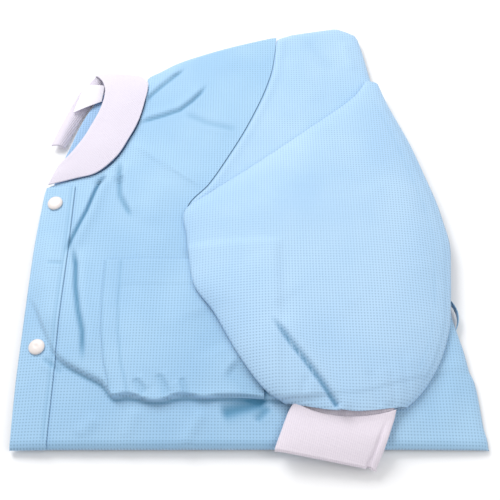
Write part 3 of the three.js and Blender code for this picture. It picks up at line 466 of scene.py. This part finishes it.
# painted shade: the body's cloth, painted darker for the inside back in the neck opening
M_INSIDE_PAINTED_DARKER = nonwoven("nonwoven_inside", (0.34, 0.54, 0.80), (0.30, 0.50, 0.76), PAINTED_SHADE_TEAL)
M_KNIT = knit("knit_collar", (0.76, 0.71, 0.81), (0.68, 0.63, 0.73), rotate=math.radians(24))
M_CUFF = knit("knit_cuff", (0.82, 0.75, 0.83), (0.72, 0.65, 0.74), rotate=math.radians(-9))
M_LABEL, _nt, _b = nodes_of("label_white")
_b.inputs["Roughness"].default_value = 0.5
_n = node(_nt, "ShaderNodeTexNoise"); _n.inputs["Scale"].default_value = 260
_r = node(_nt, "ShaderNodeValToRGB")
_r.color_ramp.elements[0].color, _r.color_ramp.elements[1].color = (0.74, 0.70, 0.78, 1), (0.84, 0.80, 0.87, 1)
_c = node(_nt, "ShaderNodeTexCoord"); _nt.links.new(_c.outputs["Object"], _n.inputs["Vector"])
_nt.links.new(_n.outputs["Fac"], _r.inputs["Fac"]); _nt.links.new(_r.outputs["Color"], _b.inputs["Base Color"])
M_SNAP, _nt, _b = nodes_of("snap_white")
_b.inputs["Roughness"].default_value = 0.38
_b.inputs["Coat Weight"].default_value = 0.15
_n = node(_nt, "ShaderNodeTexNoise"); _n.inputs["Scale"].default_value = 420
_r = node(_nt, "ShaderNodeValToRGB")
_r.color_ramp.elements[0].color, _r.color_ramp.elements[1].color = (0.72, 0.66, 0.64, 1), (0.80, 0.74, 0.72, 1)
_c = node(_nt, "ShaderNodeTexCoord"); _nt.links.new(_c.outputs["Object"], _n.inputs["Vector"])
_nt.links.new(_n.outputs["Fac"], _r.inputs["Fac"]); _nt.links.new(_r.outputs["Color"], _b.inputs["Base Color"])

# ------------------------------------------------------------------ left front
_fl, _fr, _arm = curve(FRONT_LEFT), curve(FRONT_RIGHT), curve(ARMHOLE)
_sr, _st = curve(SLEEVE_RIGHT), curve(SLEEVE_TOP)
def front_right(y):
    return np.where(y > -54, _arm(np.maximum(y, -54)) - 0.25, _fr(np.minimum(y, -54)))
def front_roll(x, y):
    dl, dr = x - _fl(y), front_right(y) - x
    z = np.where(y < -54, drop(dr, 9, 4.4) * smooth((-54 - y) / 10), 0)
    z = z + np.where(y > 160, drop(dl * 0.45, 7, 5.0) * smooth((y - 160) / 12), 0)
    return z + np.where(y < 56, drop(dl, 3, 0.9), 0)
def front_surface(x, y):
    """Outer face of the left front, its lip over the sag line pulled forward."""
    z, shade = cloth(x, y)
    z = z - front_roll(x, y)
    d = behind(x, y)
    lip = 2.6 * np.exp(-((d - 3.6) / 3.2) ** 2) * sag_mask(x, y) * smooth((x + 158) / 30)
    return np.stack([x, y - lip, z], -1), shade

def spaced(n, edge_count=4, edge=0.012):
    inner = np.linspace(edge, 1 - edge, n - 2 * edge_count)
    e = np.linspace(0, edge, edge_count + 1)[:-1]
    return np.concatenate([e, inner, 1 - e[::-1]])

ys = np.unique(np.concatenate([np.linspace(-158, 216, 190), FRONT_LEFT[8:12, 0], np.linspace(54, 66, 9), [-54]]))
us = spaced(196)
Y = np.broadcast_to(ys, (len(us), len(ys)))
L, R = _fl(ys), front_right(ys)
X = L + (R - L) * us[:, None]
P, shade = front_surface(X, Y)
# the fold at the hip, a soft half round
nose_angles = np.linspace(2.2, 0.12, 12)
first = P[:, :1]
top = first[..., 2]
r = (top - 0.9) / 2
depth = 6.4 + 0.5 * ripple(first[..., 0], first[..., 0] * 0, 60)
nose = []
for a in nose_angles:
    yy = first[..., 1] - depth * math.sin(min(a, math.pi / 2)) + (0.5 * (a - math.pi / 2) if a > math.pi / 2 else 0)
    nose.append(np.stack([first[..., 0], yy, top - r * (1 - math.cos(a))], -1))
P = np.concatenate([*nose, P], axis=1)
shade = np.concatenate([np.repeat(shade[:, :1] * 0 + 0.10, len(nose_angles), 1), shade], axis=1)
front = sheet_mesh("front_left_cloth", P, 0.8, M_BLUE, shade)

# ------------------------------------------------------------------ placket
ys2 = np.concatenate([np.linspace(-158, 53.4, 150)])
us2 = spaced(30, 3, 0.05)
PL = _fl(ys2) - 0.1
X = PL + (-142.5 - PL) * us2[:, None]
Yp = np.broadcast_to(ys2, X.shape)
Q, sh = front_surface(X, Yp)
Q[..., 2] += 1.15 + 0.0 * X
Q[..., 2] -= 0.35 * np.exp(-((X + 145.2) / 0.9) ** 2) + 0.3 * np.exp(-((X - _fl(Yp) - 9.0) / 1.2) ** 2) * smooth((Yp - 5) / 20)
f0 = Q[:, :1]
top = f0[..., 2]; r = (top - 0.6) / 2
nose = [np.stack([f0[..., 0], f0[..., 1] - 7.0 * math.sin(min(a, math.pi / 2)), top - r * (1 - math.cos(a))], -1) for a in np.linspace(1.5, 0.12, 8)]
Q = np.concatenate([*nose, Q], axis=1)
# painted shade: a light tone of it on the placket's rounded front end and a line of it in the groove near its inner
# edge
sh = np.concatenate([np.repeat(sh[:, :1] * 0 + 0.05, 8, 1), sh + 0.25 * np.exp(-((X + 145.2) / 1.0) ** 2)], axis=1)
placket = sheet_mesh("placket_strip", Q, 0.5, M_BLUE, sh)

# ------------------------------------------------------------------ pocket
def pocket_left(y):
    return np.interp(y, [-131, -118, -105, -80, -54, -17], [-98, -101.5, -105.5, -109.5, -111.5, -112])
vs = np.concatenate([np.linspace(0, 0.84, 70), np.linspace(0.85, 1, 26)])
us3 = spaced(110, 4, 0.02)
Yk = -17 + (-128.6 + 17) * vs
PLx = pocket_left(Yk)
X = PLx + (10 - PLx) * us3[:, None]
Yk = np.broadcast_to(Yk, X.shape)
Q, sh = front_surface(X, Yk)
edge_band = smooth((X - pocket_left(Yk)) / 1.2) * smooth((pocket_left(Yk) + 12.5 - X) / 1.6)
Q[..., 2] += 1.0 + 0.45 * edge_band + 0.35 * smooth((Yk + 40) / 3) * smooth((X + 101) / 3)
Q[..., 2] -= 0.35 * np.exp(-((X - pocket_left(Yk) - 1.8) / 0.8) ** 2) + 0.35 * np.exp(-((X - pocket_left(Yk) - 12.5) / 0.9) ** 2)
foot = smooth((-Yk - 121) / 7.6)
Q[..., 1] = Q[..., 1] + foot * pocket_wave(X) * 0.8
Q[..., 2] += foot * 0.8 + 0.5 * np.sin((X + 98) / 6.4) * smooth((-Yk - 104) / 22) * (1 - smooth((X + 40) / 26))
# painted shade on the pocket: the cloth's shade halved, plus lines of it along the left edge and the inner edge of the
# hem band
sh = np.clip(sh, -1, 0.35) * 0.5 + 0.20 * np.exp(-((X - pocket_left(Yk) - 12.5) / 1.2) ** 2) + 0.15 * np.exp(-((X - pocket_left(Yk) - 0.6) / 1.0) ** 2)
pocket = sheet_mesh("chest_pocket_patch", Q[:, ::-1], 0.5, M_BLUE, sh[:, ::-1])

# ------------------------------------------------------------------ upper sleeve
ys4 = np.unique(np.concatenate([np.linspace(-54, 230, 150), np.linspace(210, 230, 20)]))
us4 = spaced(110, 5, 0.03)
L = np.where(ys4 > 216, _st(np.maximum(ys4, 216)), _arm(np.minimum(ys4, 216)) + 0.25)
R = np.maximum(L + 1.2, _sr(ys4))
X = L + (R - L) * us4[:, None]
Ys = np.broadcast_to(ys4, X.shape)
z, sh = cloth(X, Ys)
dr = _sr(Ys) - X
dt = np.where(Ys > 216, X - _st(np.maximum(Ys, 216)), 99)
# distance to the sleeve's upper edge, measured straight down the picture
top_edge = np.interp(X, [24, 38, 58, 76, 80, 88, 95, 98], [216, 222.5, 226.5, 230, 230, 226.5, 222.5, 217])
z = z - np.maximum(drop(np.maximum(dr, 0), 8, 4.2) * smooth((Ys - 150) / 20), drop(np.maximum(top_edge - Ys, 0), 9, 4.6))
seam = X - (_arm(np.minimum(Ys, 216)) + 0.25)
z = z + 0.7 * np.exp(-((seam - 4.5) / 4.0) ** 2) - 0.9 * np.exp(-(seam / 1.4) ** 2)
# painted shade in the groove of the armhole seam, fading toward the top
sh = sh + 0.55 * np.exp(-(seam / 1.3) ** 2) * smooth((200 - Ys) / 60)
upper = sheet_mesh("sleeve_upper_cloth", np.stack([X, Ys, z], -1), 0.8, M_SLEEVE_PAINTED_LIGHTER, sh)

# ------------------------------------------------------------------ lower sleeve
def under_fore(x, y):
    z = np.max([stack(x + a, y + b) + sag(x + a, y + b) for a in (-5, 0, 5) for b in (-5, 0, 5)], axis=0)
    return z + 1.9 * smooth((26 - x) / 8) * smooth((-3 - y) / 8) + 0.6
FLAP_CREASES = [  # points, half width, depth, ridge beside it
    ([(15, -72), (30, -95), (39, -107), (51, -124), (60, -138)], 1.6, -3.4, 2.6),
    ([(-40, 30), (-10, 30), (30, 60)], 12.0, -0.9, 0.0), ([(60, 110), (100, 40)], 14.0, -0.8, 0.0),
    ([(120, 60), (138, -40)], 12.0, 0.9, 0.0), ([(70, -60), (110, -110)], 14.0, -0.7, 0.0),
    ([(0, -20), (30, -60)], 14.0, 0.7, 0.0), ([(84, -112), (92, -140)], 3.0, -0.9, 0.5), ([(100, -112), (103, -138)], 2.6, -0.8, 0.4),
    ([(40, -118), (36, -134)], 2.6, -0.9, 0.5), ([(108, -100), (114, -132)], 3.0, -0.8, 0.4)]
def fore_ring(t, inset, us):
    xl, yl, xr, yr, sagv, puff = along(FOREARM, np.full(us.shape, t)).T
    w = abs(xr[0] - xl[0])
    u = 0.5 + (us - 0.5) * (1 - 2 * inset / max(w, 6))
    x = xl + (xr - xl) * u
    y = yl + (yr - yl) * u - sagv * np.sin(np.pi * u)
    under = under_fore(x, y)
    c = np.abs(2 * us - 1)
    crown = (1 - c ** 2.6)
    rim = np.sqrt(np.maximum(0, 1 - c ** 8))
    half = 1.6 * rim + 0.25
    z_low = under + inset * 0.7
    z_top = under + 2 * half + puff * crown * 1.0 - inset * 0.7
    sh = np.zeros_like(x)
    d_edge = (1 - c) * w / 2
    for pts, wd, dep, rdg in FLAP_CREASES:
        d, s, pos = polyline(x, y, pts)
        ends = smooth(pos / 0.22) * (smooth((1 - pos) / 0.15) if wd > 2 else 1)
        z_top = z_top + dep * np.exp(-(d / wd) ** 2) * ends * rim
        # painted shade in the one sharp crease of the flap
        if wd < 2:
            sh = sh + 0.9 * np.exp(-(d / (wd * 0.9)) ** 2) * ends
        if rdg:
            off = np.where(s > 0, d, -d)
            z_top = z_top + rdg * np.exp(-((off - 5) / 6.0) ** 2) * ends * rim
    z_top = z_top + (0.5 * ripple(x, y, 42) + 0.12 * ripple(y, x, 12)) * rim
    # run-and-fell seam near the sleeve's outer edge
    seam_d = (xr - x)
    on = smooth((y + 126) / 20) * smooth((150 - y) / 30)
    z_top = z_top + on * (0.45 * smooth((seam_d - 6) / 1.2) * smooth((15 - seam_d) / 1.2) - 0.25 * np.exp(-((seam_d - 10.5) / 0.9) ** 2))
    # painted shade along both edges of the seam band
    sh = sh + on * 0.12 * (np.exp(-((seam_d - 6) / 0.9) ** 2) + np.exp(-((seam_d - 15) / 0.9) ** 2))
    top = np.stack([x, y, z_top], -1)
    low = np.stack([x, y, z_low], -1)
    return np.concatenate([top, low[::-1]]), np.concatenate([sh, sh[::-1] * 0])
q = np.linspace(0, 1, 92)
usf = 0.5 - 0.5 * np.cos(np.pi * (0.35 * q + 0.65 * q)) if False else 0.006 + 0.988 * (0.25 * (0.5 - 0.5 * np.cos(np.pi * q)) + 0.75 * q)
ts = np.concatenate([np.linspace(0, 1, 10)[:-1], np.linspace(1, 11, 120)[:-1], np.linspace(11, 13, 36)])
outer = [fore_ring(t, 0.0, usf) for t in ts]
inner = [fore_ring(t, 0.8, usf) for t in ts[40:][::-3]]
inner.append(fore_ring(ts[40], 0.9, usf))
rings = np.array([r[0][::-1] for r in outer + inner])
shades = np.array([r[1][::-1] for r in outer + inner])
flap = loft("sleeve_lower_cloth", rings, M_SLEEVE_PAINTED_LIGHTER, shades, cap0=True, cap1=True)

# ------------------------------------------------------------------ cuff
usc = 0.5 - 0.5 * np.cos(np.pi * np.linspace(0.03, 0.97, 56))
def cuff_ring(t, inset, grow, ribs, lift=0.0):
    xl, yl, zl, xr, yr, zr, h = along(CUFF, np.full(usc.shape, t)).T
    u = 0.5 + (usc - 0.5) * (1 - 2 * (inset - grow) / 74)
    x, y = xl + (xr - xl) * u, yl + (yr - yl) * u
    c = np.abs(2 * usc - 1)
    rnd = np.sqrt(np.maximum(0, 1 - c ** 5))
    half = np.maximum(0.3, h / 2 * rnd) - inset * 0.8 * rnd + grow
    mid = zl + (zr - zl) * u + h / 2
    rib = ribs * 0.22 * np.sin(u * 76 / 1.7 * math.tau)
    wob = 0.25 * np.sin(u * 9 + t * 2.0) * rnd
    return np.concatenate([np.stack([x, y, mid + half + rib + wob + lift], -1), np.stack([x, y, mid - half - rib], -1)[::-1]])
tc = np.linspace(0, 6, 66)
rings = [cuff_ring(t, 0.0, -0.5, 1.0) for t in tc] + [cuff_ring(t, 1.4, -0.3, 0.0) for t in tc[::-2]]
cuff = loft("cuff_tube", np.array([r[::-1] for r in rings]), M_CUFF, None, closed=True)
# turned-back layer over it: its upper edge is a shallow bow
def turned(u, v):
    """u across, v from the free end (0) up to the turned edge (1)."""
    stop = 2.15 - 0.75 * np.sin(np.pi * np.clip((u - 0.02) / 1.0, 0, 1)) + 0.25 * u
    stop = 1.25 + 1.05 * np.sin(np.pi * np.clip(u, 0, 1)) ** 0.8 + 0.2 * u
    t = 6.0 + (stop - 6.0) * v
    row = along(CUFF, t)
    xl, yl, zl, xr, yr, zr, h = [row[..., k] for k in range(7)]
    c = np.abs(2 * u - 1)
    rnd = np.sqrt(np.maximum(0, 1 - c ** 6))
    x, y = xl - 0.8 + (xr - xl + 1.6) * u, yl + (yr - yl) * u
    z = zl + (zr - zl) * u + h / 2 + h / 2 * rnd + 0.55 + 0.5 * smooth((v - 0.8) / 0.2) + 0.3 * np.sin(u * 7 + v * 3) * v
    return np.stack([x, y, z], -1)
uu, vv = np.meshgrid(np.linspace(0.0, 1.0, 90), np.linspace(0, 1, 60), indexing="ij")
T = turned(uu, vv)
# the right side falls in a shallow pleat beside the front layer
pleat = np.exp(-((uu - 0.915 - 0.02 * vv) / 0.018) ** 2) * smooth((0.9 - vv) / 0.5)
T[..., 2] -= 1.7 * pleat
T[..., 1] += 7.0 * np.exp(-((uu - 0.925) / 0.014) ** 2) * smooth((0.22 - vv) / 0.22)
# over the free end the layer turns down to the tube's lower side
end = T[:, :1]
tail = [np.stack([end[..., 0], end[..., 1] - 1.6 * math.sin(a), end[..., 2] - 2.6 * (1 - math.cos(a))], -1) for a in np.linspace(1.9, 0.2, 8)]
T = np.concatenate([*tail, T], axis=1)
cuff_over = sheet_mesh("cuff_turned", T, 0.9, M_CUFF, None)

# ------------------------------------------------------------------ collar
tb = np.linspace(0, len(BAND) - 1, 200)
vb = 0.5 - 0.5 * np.cos(np.pi * np.linspace(0.0, 1.0, 30))
row = along(BAND, tb)
S, F, bow = row[:, None, 0:3], row[:, None, 3:6], row[:, None, 6]
V = vb[None, :, None]
C = S + (F - S) * V
C[..., 2] += bow * np.sin(np.pi * vb[None, :]) + 0.18 * np.sin(tb[:, None] * 2.3 + vb[None, :] * 2) * np.sin(np.pi * vb[None, :])
C[..., 2] += 0.35 * np.exp(-((vb[None, :] - 0.93) / 0.08) ** 2)
collar = sheet_mesh("collar_band", C[::-1], 1.5, M_KNIT, None)

# ------------------------------------------------------------------ back, label
BACK = np.array([[58, -161, -124], [80, -156, -110], [98, -151, -102], [115, -146.5, -96], [131, -140.5, -95], [146, -132.5, -97], [160, -123, -99]], float)
yb = np.linspace(58, 160, 60)
Lb, Rb = curve(BACK, 1)(yb), curve(BACK, 2)(yb)
X = Lb + (Rb - Lb) * np.linspace(0, 1, 40)[:, None]
Yb = np.broadcast_to(yb, X.shape)
zb = 6.4 + 0.9 * smooth((X + 140) / 40) + 0.5 * np.sin((X + Yb) / 19) + 0.25 * ripple(X, Yb, 16)
# painted shade on the inside back: darker toward the collar band on the right and toward the front end
back_painted_shade = 0.25 * smooth((X + 128 - (Yb - 110) * 0.35) / 12) + 0.18 * smooth((84 - Yb) / 20)
back = sheet_mesh("back_inside", np.stack([X, Yb, zb], -1), 0.6, M_INSIDE_PAINTED_DARKER, back_painted_shade)
LB = {"fl": (-152.5, 131), "fr": (-128.5, 143.5), "tr": (-127.0, 160), "tl": (-144.5, 161)}
u, v = np.meshgrid(np.linspace(0, 1, 30), np.linspace(0, 1, 30), indexing="ij")
mix2 = lambda k: (LB["fl"][k] * (1 - u) + LB["fr"][k] * u) * (1 - v) + (LB["tl"][k] * (1 - u) + LB["tr"][k] * u) * v
lab = np.stack([mix2(0), mix2(1), 9.6 + 1.0 * v + 0.5 * np.sin(3 * u) - 0.5 * (1 - v) ** 2], -1)
label = sheet_mesh("neck_label_tape", lab, 0.35, M_LABEL, None)

# ------------------------------------------------------------------ hidden layers
pts = np.vstack([OUTLINE, OUTLINE[:1]])
lens = np.concatenate([[0], np.cumsum(np.hypot(*np.diff(pts, axis=0).T))])
s = np.linspace(0, lens[-1], 401)[:-1]
rim = np.stack([np.interp(s, lens, pts[:, k]) for k in (0, 1)], -1)
for _ in range(6):
    rim = 0.5 * rim + 0.25 * (np.roll(rim, 1, 0) + np.roll(rim, -1, 0))
centre = np.array([-8.0, 10.0])
to_c = (centre - rim) / np.linalg.norm(centre - rim, axis=1, keepdims=True)
def core_top(x, y):
    z = stack(x, y) - 4.2
    neck = smooth((x + 172) / 6) * smooth((-88 - x) / 8) * smooth((y - 46) / 10)
    return np.maximum(1.8, z + (3.4 - z) * neck)
def ring_at(back, zf, wob=0.0):
    b = back + wob * np.sin(s / 23 + back) + wob * 0.6 * np.sin(s / 9.1 + 2 * back)
    q2 = rim + to_c * b[:, None] if hasattr(b, "__len__") else rim + to_c * b
    return np.stack([q2[:, 0], q2[:, 1], zf(q2[:, 0], q2[:, 1])], -1)
edge_top = lambda x, y: np.minimum(core_top(x, y), 5.0)
core_rings = [ring_at(60, lambda x, y: 0 * x), ring_at(4.2, lambda x, y: 0 * x)]
prev = (0.0, 3.0)
for at, back_off in LAYERS:
    for f in (0.35, 0.7, 1.0):
        a, b = prev[0] + (at - prev[0]) * f, prev[1] + (back_off - prev[1]) * f
        core_rings.append(ring_at(b + 1.0, lambda x, y, a=a: 0.25 + a * (edge_top(x, y) - 0.25), 0.5))
    prev = (at, back_off)
for share in (0.05, 0.09, 0.14, 0.22, 0.34, 0.5, 0.7, 0.88):
    q2 = rim * (1 - share) + centre * share
    core_rings.append(np.stack([q2[:, 0], q2[:, 1], core_top(q2[:, 0], q2[:, 1])], -1))
core = loft("hidden_layers", np.array(core_rings), M_BLUE, np.zeros(len(core_rings) * 400), cap0=True, cap1=True)

# ------------------------------------------------------------------ snaps
def snap(name, sx, sy):
    prof = [(0, 0), (5.2, 0), (5.9, 0.15), (6.2, 0.55), (6.15, 1.05), (5.8, 1.55), (5.1, 1.95), (4.2, 2.2), (3.2, 2.35), (2.0, 2.42), (1.3, 2.36), (0.7, 2.28), (0, 2.26)]
    g = lambda dx, dy: float(front_surface(np.array([sx + dx]), np.array([sy + dy]))[0][0][2])
    n = np.array([(g(-8, 0) - g(8, 0)) / 16, (g(0, -8) - g(0, 8)) / 16, 1.0]); n /= np.linalg.norm(n)
    base = np.array([sx, sy, g(0, 0) + 1.25])
    e1 = np.cross([0, 1, 0], n); e1 /= np.linalg.norm(e1); e2 = np.cross(n, e1)
    k = 56
    ang = np.linspace(0, math.tau, k, endpoint=False)
    rings = [base + n * z + r * (np.cos(ang)[:, None] * e1 + np.sin(ang)[:, None] * e2) for r, z in prof[1:-1]]
    return loft(name, rings, M_SNAP, None, cap0=True, cap1=True)
snap1 = snap("snap_one", *SNAPS[0])
snap2 = snap("snap_two", *SNAPS[1])

# ------------------------------------------------------------------ edge that shows at the side
t = np.linspace(0, 1, 40)
w = np.linspace(-1, 1, 16)
ex = 152.5 + 4.6 * np.sin(np.pi * t) ** 0.8
ey = -49 - 26 * t
E = np.stack([ex[:, None] + 0.0 * w, ey[:, None] + 0.0 * w, 4.6 + 2.6 * w[None, :] + 0.4 * np.sin(6 * t)[:, None]], -1)
# painted shade over the whole strip, a side face of the folded layers
side_edge = sheet_mesh("side_fold_edge", E, 0.6, M_BLUE, np.full(E.shape[:2], 0.45))

# ------------------------------------------------------------------ the table of pieces
for piece, nodes_, slot in (
    (front, ("front_left",), "nonwoven_blue"), (placket, ("placket",), "nonwoven_blue"), (pocket, ("chest_pocket",), "nonwoven_blue"),
    (upper, ("sleeve_left_upper",), "nonwoven_blue"), (flap, ("sleeve_left_lower",), "nonwoven_blue"), (cuff, ("cuff_left",), "knit_white"),
    (cuff_over, (), "knit_white"), (collar, ("collar",), "knit_white"), (back, ("back_panel",), "nonwoven_inside"),
    (label, ("neck_label",), "label_white"), (core, ("folded_layers",), "nonwoven_blue"), (snap1, ("snap_cap_1",), "snap_white"),
    (snap2, ("snap_cap_2",), "snap_white"), (side_edge, (), "nonwoven_blue")):
    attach(piece, "root")
    if nodes_:
        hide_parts(*nodes_)

# ------------------------------------------------------------------ floor and light
me = bpy.data.meshes.new("floor")
me.from_pydata([(-3, -3, 0), (3, -3, 0), (3, 3, 0), (-3, 3, 0)], [], [(0, 1, 2, 3)])
floor_m, nt, b = nodes_of("floor_pale")
b.inputs["Base Color"].default_value = (0.93, 0.93, 0.94, 1)
b.inputs["Roughness"].default_value = 0.9
b.inputs["Specular IOR Level"].default_value = 0.1
me.materials.append(floor_m)
floor = bpy.data.objects.new("floor", me)
bpy.context.collection.objects.link(floor)

world = bpy.data.worlds.new("studio")
world.use_nodes = True
world.node_tree.nodes["Background"].inputs["Color"].default_value = (1.0, 1.0, 1.0, 1)
world.node_tree.nodes["Background"].inputs["Strength"].default_value = 0.62
bpy.context.scene.world = world
def area(name, loc, size, power, target=(0, 0, 0)):
    d = bpy.data.lights.new(name, "AREA")
    d.shape = "RECTANGLE"
    d.size, d.size_y = size
    d.energy = power
    o = bpy.data.objects.new(name, d)
    o.location = loc
    v = np.array(target, float) - np.array(loc, float)
    from mathutils import Vector
    o.rotation_euler = Vector(v).to_track_quat("-Z", "Y").to_euler()
    bpy.context.collection.objects.link(o)
area("key", (-0.55, 0.75, 0.95), (0.7, 0.7), 13.0)
area("fill", (0.8, -0.3, 1.0), (0.9, 0.9), 4.0)
bpy.context.scene.view_settings.view_transform = "Standard"
bpy.context.scene.view_settings.look = "None"
